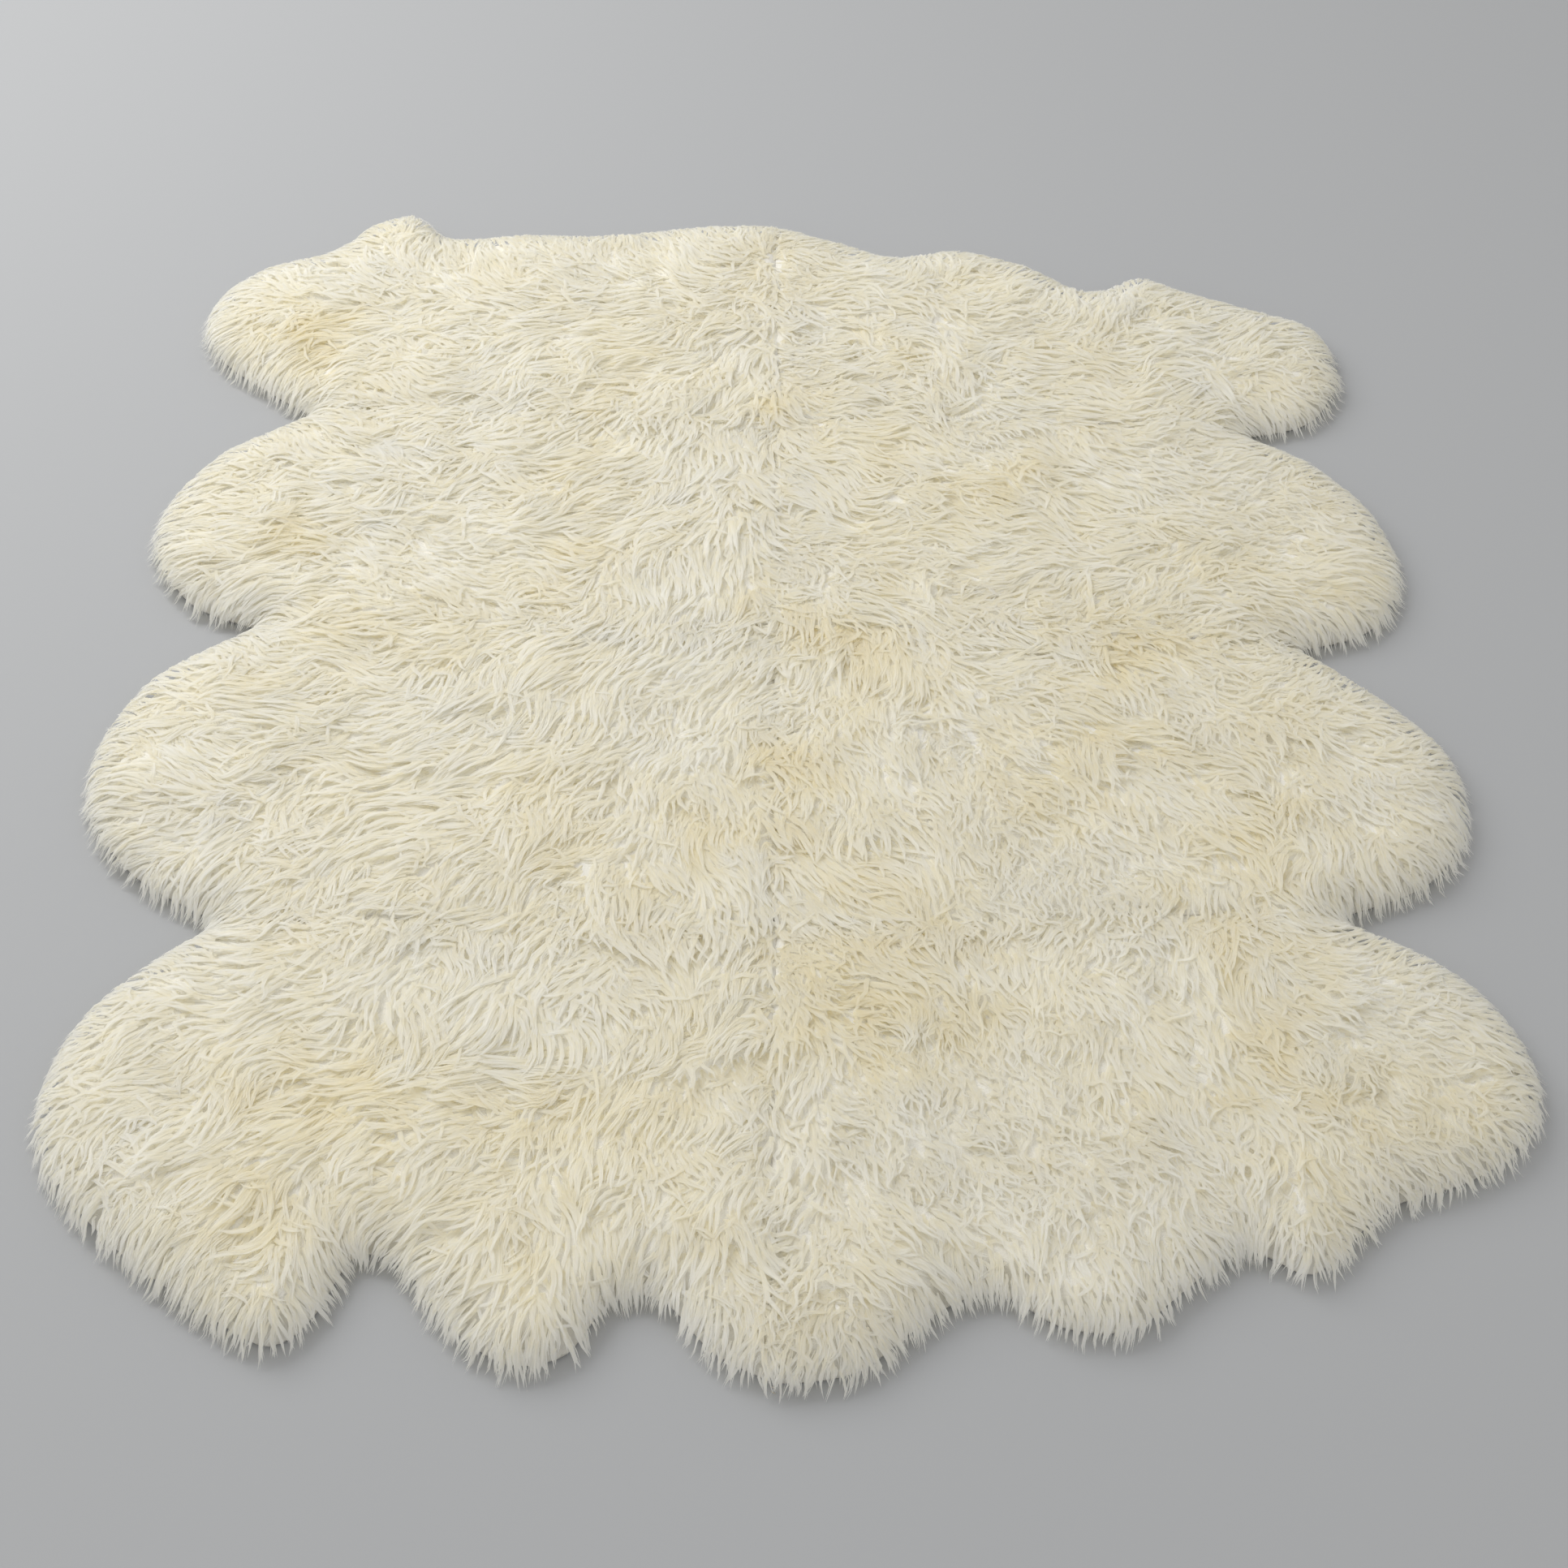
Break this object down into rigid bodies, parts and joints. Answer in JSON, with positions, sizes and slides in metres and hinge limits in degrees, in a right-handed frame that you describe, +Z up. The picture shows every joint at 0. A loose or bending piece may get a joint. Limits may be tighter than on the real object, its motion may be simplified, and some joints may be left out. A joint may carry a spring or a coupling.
{
  "type": "sheepskin rug",
  "caption": "Large sheepskin floor rug of whole pelts sewn edge to edge, long ivory wool up, with rounded lobes down both sides and a scalloped near and far edge.",
  "frame": {"origin": "on the floor, under the middle of the rug's length and width", "axes": "+Z up, out of the wool; +Y along the rug's length, from the near row of pelts to the far row; +X to the right, across the rug along the pelts"},
  "size_m": [1.8984, 2.148, 0.0594],
  "materials": {
    "wool": "long, loose, wavy wool, matt with a soft sheen",
    "hide": "undyed suede, matt"
  },
  "bodies": {
    "root": {"pelt_near_left": "wool", "pelt_near_right": "wool", "pelt_mid_near_left": "wool", "pelt_mid_near_right": "wool", "pelt_mid_far_left": "wool", "pelt_mid_far_right": "wool", "pelt_far_left": "wool", "pelt_far_right": "wool"}
  },
  "joints": []
}
